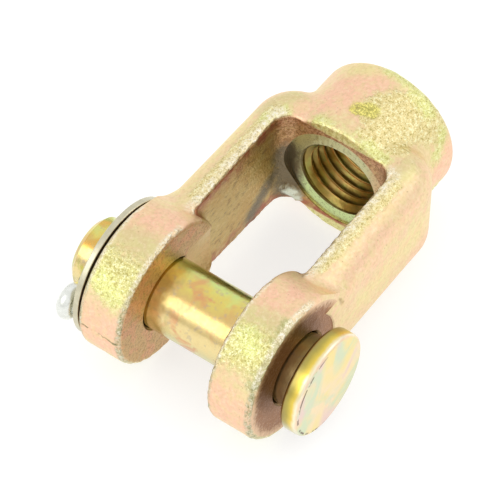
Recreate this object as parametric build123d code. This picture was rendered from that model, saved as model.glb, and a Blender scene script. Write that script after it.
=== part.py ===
from build123d import *
import math
import os

# A clevis rod end: a one-piece yoke with a tapped hub, its headed pin, a plain washer and a split pin.
# Millimetres. The origin is where the pin's axis crosses the rod's axis, halfway between the ears.
# +X is the rod's axis, towards the hub; Y is the pin's axis, with the pin's head at -Y; Z is up.

# Ears
ear_diameter = 29.4
ear_thickness = 9.3
ear_gap = 18.8
ear_rim_rounding = 1.2
ear_rim_fade_angle = 70.0
ear_rim_fade_length = 6.0
boss_height = 2.6
boss_rim_rounding = 0.9
boss_foot_rounding = 1.4

# Arms
arm_thickness = 7.2
shoulder_width = 37.0
arm_height_at_pin = 20.0
arm_height_at_shoulder = 23.8
arm_rounding = 6.2
arm_edge_rounding = 0.8
arm_bulge_start = 6.0
arm_bulge_end = 15.0
arm_bulge_rounding = 12.0
seat_wall_angle = 35.0
neck_rounding = 4.0

# Slot, shoulders and hub
slot_depth = 38.8
slot_corner_rounding = 3.5
shoulder_thickness = 9.2
shoulder_rounding = 8.5
hub_diameter = 28.2
hub_length = 9.7
hub_blend = 4.0
hub_end_rounding = 2.5

# Tapped hole, drawn at the thread's major diameter
thread_diameter = 16.0
thread_lead_in = 0.25
thread_seat_diameter = 22.0
thread_seat_depth = 0.4

# Pin
pin_diameter = 14.0
pin_clearance = 0.2
pin_bore_chamfer = 0.4
pin_head_diameter = 20.3
pin_head_thickness = 3.6
pin_head_rounding = 0.8
pin_head_blend = 0.3
pin_head_seat_margin = 0.5
pin_end_float = 3.15
pin_end_chamfer = 1.0
pin_tail_length = 6.1

# Washer
washer_diameter = 27.6
washer_thickness = 1.2
washer_edge_rounding = 0.2
washer_clearance = 0.5
washer_seat_gap = 0.5
washer_seat_margin = 0.5

# Split pin, a half-round wire folded flat side to flat side
split_pin_diameter = 3.2
split_pin_leg_gap = 0.1
split_pin_hole_clearance = 0.2
split_pin_seat_gap = 0.3
split_pin_eye_radius = 2.1
split_pin_neck_radius = 2.0
split_pin_neck_start = 0.9
split_pin_bend_start = 1.2
split_pin_bend_radius = 2.6
split_pin_bend_angle = 62.0
split_pin_short_leg = 3.0
split_pin_long_leg = 4.4

# Radii
ear_radius = ear_diameter / 2
hub_radius = hub_diameter / 2
thread_radius = thread_diameter / 2
pin_radius = pin_diameter / 2
bore_radius = pin_radius + pin_clearance
split_pin_radius = split_pin_diameter / 2

# Places along the pin's axis
ear_inner_face = ear_gap / 2
ear_face = ear_inner_face + ear_thickness
arm_inner_face = ear_inner_face + boss_height
arm_face = arm_inner_face + arm_thickness
shoulder_face = shoulder_width / 2
head_underside = -(ear_face + pin_end_float)
washer_inner_face = ear_face + washer_seat_gap
washer_outer_face = washer_inner_face + washer_thickness
split_pin_y = washer_outer_face + split_pin_seat_gap + split_pin_radius
pin_end = washer_outer_face + pin_tail_length

# Places along the rod's axis
taper_end = slot_depth - slot_corner_rounding
shoulder_back = slot_depth + shoulder_thickness
hub_end = shoulder_back + hub_length

# How near an edge or a face has to be to count as being in a place, and how far tools overrun
place_tolerance = 0.001
curve_tolerance = 0.03
join_tolerance = 0.005
overrun = 0.5


def cylinder_on_y(radius, y_from, y_to):
    """A cylinder about the pin's axis between two places on it."""
    plane = Plane(origin=(0, y_from, 0), x_dir=(1, 0, 0), z_dir=(0, 1, 0))
    return plane * Cylinder(radius, y_to - y_from, align=(Align.CENTER, Align.CENTER, Align.MIN))


def cylinder_on_x(radius, x_from, x_to):
    """A cylinder about the rod's axis between two places on it."""
    plane = Plane(origin=(x_from, 0, 0), x_dir=(0, 1, 0), z_dir=(1, 0, 0))
    return plane * Cylinder(radius, x_to - x_from, align=(Align.CENTER, Align.CENTER, Align.MIN))


def countersink(origin, outward, radius, depth):
    """A 45 degree cone that opens outward to radius + depth at the origin."""
    cone = Cone(radius, radius + depth, depth, align=(Align.CENTER, Align.CENTER, Align.MAX))
    return Plane(origin=origin, z_dir=outward) * cone


def both_sides(shape):
    """A shape and its mirror image across the rod's axis."""
    return shape + mirror(shape, about=Plane.XZ)


def samples(edge):
    """Points spread along an edge, with both its ends."""
    return [edge.position_at(i / 6) for i in range(7)]


def edges_at_radius(shape, radius, across):
    """The edges that keep a radius about an axis; across gives a point's two offsets from it."""
    found = []
    for edge in shape.edges():
        if all(abs(math.hypot(*across(point)) - radius) < curve_tolerance for point in samples(edge)):
            found.append(edge)
    return found


def arm_section(x, face, height):
    """The rounded cross-section of both arms together, across the rod's axis."""
    plane = Plane(origin=(x, 0, 0), x_dir=(0, 1, 0), z_dir=(1, 0, 0))
    return plane * RectangleRounded(2 * face, height, arm_rounding)


def seat_cutter(radius, side):
    """The tool that faces one ear's outer side, with a wall that slopes out into the arm."""
    depth = 2 * (arm_face - ear_face)
    flare = depth / math.tan(math.radians(seat_wall_angle))
    cone = Cone(radius, radius + flare, depth, align=(Align.CENTER, Align.CENTER, Align.MIN))
    return Plane(origin=(0, side * ear_face, 0), z_dir=(0, side, 0)) * cone


def arm_blank():
    """The tapered bar the arms are cut from: it narrows towards the pin and is faced off at the ears."""
    side_slope = (arm_face - shoulder_face) / (taper_end - arm_bulge_end)
    arm_face_at_pin = arm_face + side_slope * arm_bulge_end
    near_pin = arm_section(0, arm_face_at_pin, arm_height_at_pin)
    bar = loft([near_pin, arm_section(taper_end, shoulder_face, arm_height_at_shoulder)])
    bulge_slope = (arm_face - ear_face) / (arm_bulge_end - arm_bulge_start)
    outline = Polyline(
        (0, 0),
        (0, ear_face - bulge_slope * arm_bulge_start),
        (arm_bulge_end, arm_face),
        (taper_end + overrun, arm_face),
        (taper_end + overrun, 0),
        close=True,
    )
    half_plan = make_face(outline)
    bend = half_plan.vertices().sort_by_distance((arm_bulge_end, arm_face, 0))[0]
    plan = both_sides(fillet(bend, arm_bulge_rounding))
    bar = bar & extrude(plan, amount=arm_height_at_shoulder, both=True)
    bar -= seat_cutter(pin_head_diameter / 2 + pin_head_seat_margin, -1)
    return bar - seat_cutter(washer_diameter / 2 + washer_seat_margin, 1)


def shoulder_blank():
    """The block behind the slot, rounded over like a pillow at its sides and back."""
    length = shoulder_back - taper_end
    block = Pos(taper_end + length / 2, 0, 0) * Box(length, shoulder_width, arm_height_at_shoulder)
    block = fillet(block.edges().filter_by(Axis.Z).group_by(Axis.X)[-1], shoulder_rounding)
    flats = block.faces().sort_by(Axis.Z)
    rims = flats[0].edges() + flats[-1].edges()
    return fillet([rim for rim in rims if rim.center().X > taper_end + place_tolerance], arm_rounding)


def outer_form():
    """Ears, arms, shoulders and hub as one rounded solid, before anything is cut in it."""
    body = arm_blank() + shoulder_blank() + cylinder_on_y(ear_radius, -ear_face, ear_face)
    necks = []
    for edge in edges_at_radius(body, ear_radius, lambda point: (point.X, point.Z)):
        middle = edge.center()
        if middle.X > 0 and abs(abs(middle.Y) - ear_face) > place_tolerance:
            necks.append(edge)
    body = fillet(necks, neck_rounding)

    body += cylinder_on_x(hub_radius, taper_end + overrun, hub_end)
    joins = []
    for edge in edges_at_radius(body, hub_radius, lambda point: (point.Y, point.Z)):
        if taper_end + 2 * overrun < edge.center().X < hub_end - 2 * overrun:
            joins.append(edge)
    body = fillet(joins, hub_blend)
    return fillet(body.edges().group_by(Axis.X)[-1], hub_end_rounding)


def slot():
    """The space between the arms, with its inner corners rounded in plan."""
    length = slot_depth + ear_diameter
    space = Pos(slot_depth - length / 2, 0, 0) * Box(length, 2 * arm_inner_face, 2 * ear_diameter)
    return fillet(space.edges().filter_by(Axis.Z).group_by(Axis.X)[-1], slot_corner_rounding)


def is_on_slot_wall(point):
    """True for a point on the slot's sides, corners or end."""
    side = abs(point.Y)
    corner_y = arm_inner_face - slot_corner_rounding
    if point.X <= taper_end:
        off_wall = side - arm_inner_face
    elif side <= corner_y:
        off_wall = point.X - slot_depth
    else:
        off_wall = math.hypot(point.X - taper_end, side - corner_y) - slot_corner_rounding
    return abs(off_wall) < place_tolerance


def round_slot_mouth(piece):
    """Round the edges where the slot opens through the top and bottom of a piece."""
    upright = piece.edges().filter_by(Axis.Z)
    mouth = []
    for edge in piece.edges():
        if edge not in upright and all(is_on_slot_wall(point) for point in samples(edge)):
            mouth.append(edge)
    return fillet(mouth, arm_edge_rounding)


def ear_boss():
    """The round boss inside one ear, with a rounded rim."""
    boss = cylinder_on_y(ear_radius, ear_inner_face, arm_inner_face + arm_edge_rounding + overrun)
    return fillet(boss.edges().sort_by(Axis.Y)[0], boss_rim_rounding)


def rim_cutter():
    """The tool that rounds one ear's outer rim and runs straight out of it where the arm begins."""
    inner = ear_radius - ear_rim_rounding
    outer = ear_radius + overrun
    lower = ear_face - ear_rim_rounding
    upper = ear_face + overrun
    with BuildSketch() as section:
        with BuildLine():
            Polyline((ear_radius, lower), (outer, lower), (outer, upper), (inner, upper), (inner, ear_face))
            RadiusArc((inner, ear_face), (ear_radius, lower), ear_rim_rounding)
        make_face()
    start = Rot(0, -ear_rim_fade_angle, 0) * section.sketch
    ring = revolve(start, axis=Axis.Y, revolution_arc=2 * ear_rim_fade_angle - 360)
    angle = math.radians(ear_rim_fade_angle)
    tangent = (math.sin(angle), 0, -math.cos(angle))
    run_out = extrude(start, amount=ear_rim_fade_length, dir=tangent)
    return ring + run_out + mirror(run_out, about=Plane.XY)


def clevis_yoke():
    """The casting: rounded outside, slotted, then bored, faced and tapped."""
    body = outer_form() - slot()
    behind_slot = Pos(taper_end + hub_end, 0, 0) * Box(2 * hub_end, 4 * arm_face, 4 * hub_radius)
    arms = round_slot_mouth(body - behind_slot)
    shoulders = round_slot_mouth(body & behind_slot)
    arms += both_sides(ear_boss())
    feet = []
    for edge in edges_at_radius(arms, ear_radius, lambda point: (point.X, point.Z)):
        if edge.center().X > 0 and abs(abs(edge.center().Y) - arm_inner_face) < place_tolerance:
            feet.append(edge)
    arms = fillet(feet, boss_foot_rounding)
    body = arms.fuse(shoulders, tol=join_tolerance)

    body -= both_sides(rim_cutter())
    body -= cylinder_on_x(thread_seat_diameter / 2, 0, slot_depth + thread_seat_depth)
    body -= cylinder_on_x(thread_radius, 0, 2 * hub_end)
    body -= countersink((slot_depth + thread_seat_depth, 0, 0), (-1, 0, 0), thread_radius, thread_lead_in)
    body -= countersink((hub_end, 0, 0), (1, 0, 0), thread_radius, thread_lead_in)
    body -= cylinder_on_y(bore_radius, -2 * arm_face, 2 * arm_face)
    for side in (-1, 1):
        body -= countersink((0, side * ear_face, 0), (0, side, 0), bore_radius, pin_bore_chamfer)
        body -= countersink((0, side * ear_inner_face, 0), (0, -side, 0), bore_radius, pin_bore_chamfer)
    return body


def clevis_pin():
    """The headed pin, turned in one piece and drilled across near its end for the split pin."""
    head_face = head_underside - pin_head_thickness
    head = cylinder_on_y(pin_head_diameter / 2, head_face, head_underside)
    head = fillet(head.edges().filter_by(GeomType.CIRCLE), pin_head_rounding)
    pin = head + cylinder_on_y(pin_radius, head_face, pin_end)
    under_head = []
    for edge in edges_at_radius(pin, pin_radius, lambda point: (point.X, point.Z)):
        if abs(edge.center().Y - head_underside) < place_tolerance:
            under_head.append(edge)
    pin = fillet(under_head, pin_head_blend)
    pin = chamfer(pin.edges().group_by(Axis.Y)[-1], pin_end_chamfer)
    hole_radius = split_pin_radius + split_pin_hole_clearance
    hole = Plane(origin=(0, split_pin_y, 0), x_dir=(0, 1, 0), z_dir=(1, 0, 0))
    return pin - hole * Cylinder(hole_radius, 2 * pin_diameter)


def washer():
    """The plain washer between the ear and the split pin."""
    ring = cylinder_on_y(washer_diameter / 2, washer_inner_face, washer_outer_face)
    ring -= cylinder_on_y(pin_radius + washer_clearance, washer_inner_face, washer_outer_face)
    return fillet(ring.edges().filter_by(GeomType.CIRCLE), washer_edge_rounding)


def leg_end(leg_length, side):
    """One spread leg, in the split pin's own plane: where its bend ends and where its tip is."""
    angle = math.radians(split_pin_bend_angle)
    bend_x = pin_radius + split_pin_bend_start + split_pin_bend_radius * math.sin(angle)
    bend_z = split_pin_leg_gap / 2 + split_pin_bend_radius * (1 - math.cos(angle))
    tip_x = bend_x + leg_length * math.cos(angle)
    tip_z = bend_z + leg_length * math.sin(angle)
    return (bend_x, side * bend_z), (tip_x, side * tip_z)


def split_pin():
    """The wire's flat side follows one line: up one leg, round the eye and back down the other."""
    offset = split_pin_leg_gap / 2
    bend_x = pin_radius + split_pin_bend_start
    neck_x = -(pin_radius + split_pin_neck_start)
    reach = split_pin_eye_radius + split_pin_neck_radius
    drop = offset + split_pin_neck_radius
    eye_x = neck_x - math.sqrt(reach**2 - drop**2)
    share = split_pin_eye_radius / reach
    meet_x = eye_x + (neck_x - eye_x) * share
    meet_z = drop * share
    upper_bend, upper_tip = leg_end(split_pin_short_leg, 1)
    lower_bend, lower_tip = leg_end(split_pin_long_leg, -1)
    plane = Plane(origin=(0, split_pin_y, 0), x_dir=(1, 0, 0), z_dir=(0, -1, 0))
    with BuildLine(plane) as path:
        Line(upper_tip, upper_bend)
        RadiusArc(upper_bend, (bend_x, offset), split_pin_bend_radius)
        Line((bend_x, offset), (neck_x, offset))
        RadiusArc((neck_x, offset), (meet_x, meet_z), split_pin_neck_radius)
        ThreePointArc((meet_x, meet_z), (eye_x - split_pin_eye_radius, 0), (meet_x, -meet_z))
        RadiusArc((meet_x, -meet_z), (neck_x, -offset), split_pin_neck_radius)
        Line((neck_x, -offset), (bend_x, -offset))
        RadiusArc((bend_x, -offset), lower_bend, split_pin_bend_radius)
        Line(lower_bend, lower_tip)
    wire_radius = split_pin_radius - offset
    tip = Plane(origin=path.line @ 0, x_dir=(0, -1, 0), z_dir=path.line % 0)
    with BuildSketch(tip) as section:
        with BuildLine():
            ThreePointArc((-wire_radius, 0), (0, wire_radius), (wire_radius, 0))
            Line((wire_radius, 0), (-wire_radius, 0))
        make_face()
    return sweep(section.sketch, path=path.line)


if __name__ == "__main__":
    os.makedirs("parts", exist_ok=True)
    export_step(clevis_yoke(), "parts/clevis_yoke.step")
    export_step(clevis_pin(), "parts/clevis_pin.step")
    export_step(washer(), "parts/washer.step")
    export_step(split_pin(), "parts/split_pin.step")
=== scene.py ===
"""Looks of the clevis rod end: a yellow-zinc yoke with its tapped hub, headed pin, washer and split pin."""

import logging
import math
from dataclasses import dataclass
from enum import Enum
from functools import reduce
from typing import Mapping, Sequence, Union

import bmesh
import bpy
from mathutils import Matrix, Vector, noise


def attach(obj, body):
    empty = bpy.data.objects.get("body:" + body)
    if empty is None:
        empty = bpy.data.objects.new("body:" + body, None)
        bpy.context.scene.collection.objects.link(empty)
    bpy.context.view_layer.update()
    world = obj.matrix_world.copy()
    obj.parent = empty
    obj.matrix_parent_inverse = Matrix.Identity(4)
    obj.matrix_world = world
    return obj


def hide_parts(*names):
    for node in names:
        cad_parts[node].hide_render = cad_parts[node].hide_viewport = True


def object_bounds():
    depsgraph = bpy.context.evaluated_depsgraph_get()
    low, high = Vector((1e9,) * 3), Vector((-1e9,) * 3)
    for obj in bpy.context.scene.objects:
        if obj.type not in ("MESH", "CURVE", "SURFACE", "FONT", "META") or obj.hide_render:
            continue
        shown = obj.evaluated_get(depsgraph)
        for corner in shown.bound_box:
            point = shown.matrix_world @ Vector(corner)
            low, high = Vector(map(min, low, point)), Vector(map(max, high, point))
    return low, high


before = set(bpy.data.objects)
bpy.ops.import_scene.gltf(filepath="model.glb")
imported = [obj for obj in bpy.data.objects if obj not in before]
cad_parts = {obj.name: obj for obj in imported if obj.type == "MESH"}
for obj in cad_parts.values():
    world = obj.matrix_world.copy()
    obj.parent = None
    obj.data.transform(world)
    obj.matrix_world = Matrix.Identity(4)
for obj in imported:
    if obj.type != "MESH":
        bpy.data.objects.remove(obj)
CAD_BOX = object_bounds()

LOG = logging.getLogger("clevis_rod_end")
MM = 0.001
YOKE_BODY = "yoke"
VECTOR_INPUTS = ("Place", "Start", "Run")

Triple = tuple[float, float, float]
Colour = tuple[float, float, float, float]
Bands = tuple[tuple[float, Colour], ...]
Socket = bpy.types.NodeSocket
Sockets = bpy.types.bpy_prop_collection
Feed = Union[Socket, float, Sequence[float]]


def linear(channel: int) -> float:
    """Turn an everyday colour channel, from 0 to 255, into a linear one."""
    return channel / 255 / 12.92 if channel / 255 <= 0.04045 else ((channel / 255 + 0.055) / 1.055) ** 2.4


def shade(red: int, green: int, blue: int) -> Colour:
    """Turn an everyday 0-255 colour into the linear one a shader takes, with an alpha of one."""
    return (linear(red), linear(green), linear(blue), 1.0)


def smooth_step(value: float) -> float:
    """Ease a number from nought to one, holding it there outside those limits."""
    held = max(0.0, min(1.0, value))
    return held * held * (3.0 - 2.0 * held)


class Slot(Enum):
    """The finishes named in the record."""

    CASTING = "yellow_zinc_casting"
    PIN = "yellow_zinc_pin"
    WASHER = "clear_zinc_washer"
    WIRE = "clear_zinc_wire"


class Graph:
    """A short way to lay out the nodes of a material, a world or a node group."""

    def __init__(self, tree: bpy.types.NodeTree) -> None:
        """Hold the tree."""
        self.tree = tree

    def feed(self, socket: Socket, value: Feed) -> None:
        """Give a socket a link or a constant.

        Args:
            socket: The input to fill.
            value: Another node's output, or a constant of the socket's own kind.
        """
        if isinstance(value, Socket):
            self.tree.links.new(value, socket)
        else:
            socket.default_value = value

    def node(self, kind: str, feeds: Mapping[Union[int, str], Feed], **settings: object) -> bpy.types.Node:
        """Add a node.

        Args:
            kind: The node's type name.
            feeds: What its inputs are given, by number or name.
            **settings: Its own properties, by name.

        Returns:
            The new node.
        """
        made = self.tree.nodes.new(kind)
        for name, value in settings.items():
            setattr(made, name, value)
        for key, value in feeds.items():
            self.feed(made.inputs[key], value)
        return made

    def math(self, operation: str, *values: Feed, clamp: bool = False) -> Socket:
        """Work out one number, held between nought and one if clamp is set."""
        feeds = dict(enumerate(values))
        return self.node("ShaderNodeMath", feeds, operation=operation, use_clamp=clamp).outputs[0]

    def vector(self, operation: str, first: Feed, second: Feed) -> Sockets:
        """Work on a vector with another, or with a factor for SCALE, and give the "Vector" and "Value"."""
        feeds = {0: first, "Scale" if operation == "SCALE" else 1: second}
        return self.node("ShaderNodeVectorMath", feeds, operation=operation).outputs

    def ramp(self, value: Feed, at_zero: float, at_one: float) -> Socket:
        """Turn a number into a soft mask between two limits.

        Args:
            value: The number.
            at_zero: Where the mask is nought.
            at_one: Where the mask is one; it may lie below at_zero.

        Returns:
            The mask, from nought to one.
        """
        falls = at_zero > at_one
        low, high = sorted((at_zero, at_one))
        limits = {"From Min": low, "From Max": high, "To Min": float(falls), "To Max": float(not falls)}
        feeds = {"Value": value, **limits}
        return self.node("ShaderNodeMapRange", feeds, interpolation_type="SMOOTHSTEP").outputs["Result"]

    def fade(self, under: Feed, over: Feed, mask: Feed) -> Socket:
        """Mix two numbers, the first where the mask is nought and the second where it is one."""
        return self.node("ShaderNodeMix", {"Factor": mask, 2: under, 3: over}, data_type="FLOAT").outputs[0]

    def blend(self, under: Feed, over: Feed, *masks: Feed) -> Socket:
        """Lay a colour over another where every mask is set."""
        feeds = {"Factor": self.both(*masks), 6: under, 7: over}
        return self.node("ShaderNodeMix", feeds, data_type="RGBA").outputs[2]

    def layers(self, skin: Feed, *layers: Sequence[Feed]) -> Socket:
        """Lay colours over a first one in order, each given together with its masks."""
        return reduce(lambda under, layer: self.blend(under, *layer), layers, skin)

    def most(self, *masks: Feed) -> Socket:
        """Join one mask or more, keeping the strongest at each place."""
        return reduce(lambda joined, mask: self.math("MAXIMUM", joined, mask), masks)

    def both(self, *masks: Feed) -> Socket:
        """Multiply one mask or more, which keeps only where every one is set."""
        return reduce(lambda joined, mask: self.math("MULTIPLY", joined, mask), masks)

    def noise(self, place: Feed, scale: Feed, detail: float, rough: float, twist: float = 0.0) -> Socket:
        """Add cloudy noise around a half, with scale in features for each unit of place."""
        feeds = {"Vector": place, "Scale": scale, "Detail": detail, "Roughness": rough, "Distortion": twist}
        return self.node("ShaderNodeTexNoise", feeds, noise_dimensions="3D").outputs["Fac"]

    def bands(self, value: Feed, bands: Bands) -> Socket:
        """Colour a number in soft bands.

        Args:
            value: The number.
            bands: Where each colour is purest, from nought to one.

        Returns:
            The colour.
        """
        made = self.node("ShaderNodeValToRGB", {"Fac": value})
        stops = made.color_ramp.elements
        for index, (position, colour) in enumerate(bands):
            stop = stops[index] if index < 2 else stops.new(position)
            stop.position = position
            stop.color = colour
        return made.outputs["Color"]

    def use(self, tree: bpy.types.NodeTree, **values: Feed) -> Sockets:
        """Place a node group, fill its inputs by name and give its outputs."""
        return self.node("ShaderNodeGroup", values, node_tree=tree).outputs


class Effects:
    """The effects that more than one finish uses, each a node group built once. Heights in millimetres."""

    wave_height = 0.12
    coarse_knobs, coarse_sand = 0.24, 0.08
    fine_knobs, fine_sand = 0.045, 0.02
    pit_depth = 0.05
    groove_depth = 0.012

    def __init__(self) -> None:
        """Build the groups."""
        self.streak_mask = self._streak_mask()
        self.grain = self._grain()
        self.drift = self._drift()
        self.turning = self._turning()

    @staticmethod
    def _begin(name: str, inputs: Sequence[str], outputs: Sequence[str]) -> tuple[Graph, Sockets, Sockets]:
        """Start a group with its sockets.

        Args:
            name: The group's name.
            inputs: Names of its inputs, which are numbers unless they are in VECTOR_INPUTS.
            outputs: Names of its outputs, which are numbers.

        Returns:
            A graph on the new group, what comes into it and what goes out of it.
        """
        tree = bpy.data.node_groups.new(name, "ShaderNodeTree")
        for in_out, labels in (("INPUT", inputs), ("OUTPUT", outputs)):
            for label in labels:
                kind = "NodeSocketVector" if label in VECTOR_INPUTS else "NodeSocketFloat"
                tree.interface.new_socket(label, in_out=in_out, socket_type=kind)
        graph = Graph(tree)
        return graph, graph.node("NodeGroupInput", {}).outputs, graph.node("NodeGroupOutput", {}).inputs

    def _streak_mask(self) -> bpy.types.NodeTree:
        """Mask a soft, ragged streak along a line, or a round patch if the line has no length.

        Returns:
            The group.
        """
        graph, given, out = self._begin(
            "streak_mask", ("Place", "Cloud", "Start", "Run", "Radius", "Softness", "Raggedness"), ("Mask",)
        )
        away = graph.vector("SUBTRACT", given["Place"], given["Start"])["Vector"]
        along = graph.vector("DOT_PRODUCT", away, given["Run"])["Value"]
        whole = graph.vector("DOT_PRODUCT", given["Run"], given["Run"])["Value"]
        share = graph.math("DIVIDE", along, graph.math("MAXIMUM", whole, 0.0001), clamp=True)
        nearest = graph.vector("SCALE", given["Run"], share)["Vector"]
        distance = graph.vector("DISTANCE", away, nearest)["Value"]
        wobble = graph.math("MULTIPLY", graph.math("SUBTRACT", given["Cloud"], 0.5), given["Raggedness"])
        depth = graph.math("SUBTRACT", given["Radius"], graph.math("ADD", distance, wobble))
        graph.feed(out["Mask"], graph.ramp(graph.math("DIVIDE", depth, given["Softness"]), -0.5, 0.5))
        return graph.tree

    def _grain(self) -> bpy.types.NodeTree:
        """Work out a cast skin's height, with its level, its sharp specks and its pits.

        Returns:
            The group.
        """
        outputs = ("Height", "Level", "Specks", "Pits")
        graph, given, out = self._begin("cast_grain", ("Place", "Coarse"), outputs)
        waves = graph.noise(given["Place"], 0.5, 2.0, 0.5)
        knobs = graph.noise(given["Place"], 1.5, 3.0, 0.6)
        sand = graph.noise(given["Place"], 3.8, 2.0, 0.6)
        cells = graph.node("ShaderNodeTexVoronoi", {"Vector": given["Place"], "Scale": 1.5})
        pits = graph.both(graph.ramp(cells.outputs["Distance"], 0.24, 0.06), graph.ramp(waves, 0.55, 0.62))
        fine, coarse = [
            graph.math("MULTIPLY_ADD", knobs, knob_height, graph.math("MULTIPLY", sand, sand_height))
            for knob_height, sand_height in (
                (self.fine_knobs, self.fine_sand), (self.coarse_knobs, self.coarse_sand),
            )
        ]
        skin = graph.math("MULTIPLY_ADD", waves, self.wave_height, graph.fade(fine, coarse, given["Coarse"]))
        graph.feed(out["Height"], graph.math("MULTIPLY_ADD", pits, -self.pit_depth, skin))
        graph.feed(out["Level"], graph.math("MULTIPLY_ADD", sand, 0.5, graph.math("MULTIPLY", knobs, 0.5)))
        graph.feed(out["Specks"], graph.both(graph.ramp(sand, 0.54, 0.62), graph.ramp(knobs, 0.44, 0.56)))
        graph.feed(out["Pits"], pits)
        return graph.tree

    def _drift(self) -> bpy.types.NodeTree:
        """Mask three sets of slow clouds that a chromate film's tints follow.

        Returns:
            The group.
        """
        graph, given, out = self._begin("film_drift", ("Place", "Scale"), ("First", "Second", "Third"))
        for label, offset, low, high in (
            ("First", (0.0, 0.0, 0.0), 0.40, 0.60),
            ("Second", (31.0, 7.0, 3.0), 0.44, 0.62),
            ("Third", (11.0, 53.0, 29.0), 0.50, 0.66),
        ):
            moved = graph.vector("ADD", given["Place"], offset)["Vector"]
            cloud = graph.noise(moved, given["Scale"], 3.0, 0.55, twist=0.6)
            graph.feed(out[label], graph.ramp(cloud, low, high))
        return graph.tree

    def _turning(self) -> bpy.types.NodeTree:
        """Work out the fine rings that a lathe leaves round an axis, with a little chatter.

        Returns:
            The group.
        """
        graph, given, out = self._begin("turning_marks", ("Radius", "Along", "Place"), ("Height", "Streaks"))
        reach = graph.math("ADD", given["Radius"], given["Along"])
        feeds = {"W": reach, "Scale": 5.0, "Detail": 4.0, "Roughness": 0.65}
        level = graph.node("ShaderNodeTexNoise", feeds, noise_dimensions="1D").outputs["Fac"]
        patchy = graph.noise(given["Place"], 0.6, 2.0, 0.5)
        graph.feed(out["Height"], graph.math("MULTIPLY", level, self.groove_depth))
        graph.feed(out["Streaks"], graph.both(graph.ramp(level, 0.45, 0.65), patchy))
        return graph.tree


class Coat(Graph):
    """A material under way, with numbers that say where a point lies, in millimetres."""

    def __init__(self, name: str, effects: Effects) -> None:
        """Start a material with a Principled shader.

        Args:
            name: The material's name.
            effects: The shared groups.
        """
        self.material = bpy.data.materials.new(name)
        self.material.use_nodes = True
        super().__init__(self.material.node_tree)
        self.effects = effects
        metres = self.node("ShaderNodeTexCoord", {}).outputs["Object"]
        self.place = self.vector("SCALE", metres, 1 / MM)["Vector"]
        self.along, self.across, self.up = self.node("ShaderNodeSeparateXYZ", {0: self.place}).outputs
        self.side = self.math("ABSOLUTE", self.across)
        self.level = self.math("ABSOLUTE", self.up)
        self.from_pin = self.reach(self.along, self.up)
        self.from_rod = self.reach(self.across, self.up)

    def reach(self, first: Feed, second: Feed) -> Socket:
        """Give the distance from an axis, from two offsets to it."""
        squares = [self.math("MULTIPLY", offset, offset) for offset in (first, second)]
        return self.math("SQRT", self.math("ADD", *squares))

    def near(self, value: Feed, place: float, half_width: float) -> Socket:
        """Mask the points whose value is near a place, fading to nought at half_width."""
        return self.ramp(self.math("ABSOLUTE", self.math("SUBTRACT", value, place)), half_width, 0.0)

    def mottle(self, scale: float, detail: float, rough: float) -> Socket:
        """Give cloudy noise all over the piece."""
        return self.noise(self.place, scale, detail, rough)

    def drift(self, scale: float) -> Sockets:
        """Give three slow cloud masks, with scale in features per millimetre."""
        return self.use(self.effects.drift, Place=self.place, Scale=scale)

    def turning(self, radius: Feed, along: Feed) -> Sockets:
        """Give a lathe's rings at a radius and a place along their axis."""
        return self.use(self.effects.turning, Radius=radius, Along=along, Place=self.place)

    def finish(self, colour: Feed, rough: Feed, metal: float, height: Feed) -> bpy.types.Material:
        """Wire the shader up.

        Args:
            colour: The surface's colour.
            rough: Its roughness.
            metal: How metallic it is.
            height: Its relief, in millimetres.

        Returns:
            The finished material.
        """
        shader = self.tree.nodes["Principled BSDF"]
        bump = self.node("ShaderNodeBump", {"Strength": 1.0, "Distance": MM, "Height": height})
        self.feed(shader.inputs["Base Color"], colour)
        self.feed(shader.inputs["Roughness"], rough)
        self.feed(shader.inputs["Normal"], bump.outputs["Normal"])
        shader.inputs["Metallic"].default_value = metal
        return self.material


def dress(piece: bpy.types.Object, material: bpy.types.Material) -> None:
    """Give a piece its material.

    Args:
        piece: The piece or CAD node.
        material: The material it wears.
    """
    if piece.material_slots:
        for holder in piece.material_slots:
            holder.material = material
    else:
        piece.data.materials.append(material)


@dataclass(frozen=True)
class YokeSizes:
    """Where the yoke's faces and edges lie, in millimetres."""

    ear_radius: float = 14.7
    ear_face: float = 18.7
    ear_inner_face: float = 9.4
    arm_start: float = 5.0
    arm_inner_face: float = 12.0
    arm_half_height: float = 10.0
    arm_rise: float = 0.0538
    trough_end: float = 18.0
    slot_end: float = 38.8
    seat_ring: float = 39.2
    seat_ring_radius: float = 11.0
    bore_radius: float = 7.2
    thread_mouth: float = 8.25
    thread_crest: float = 6.92
    hub_middle: float = 50.0
    hub_end: float = 57.7


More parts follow.
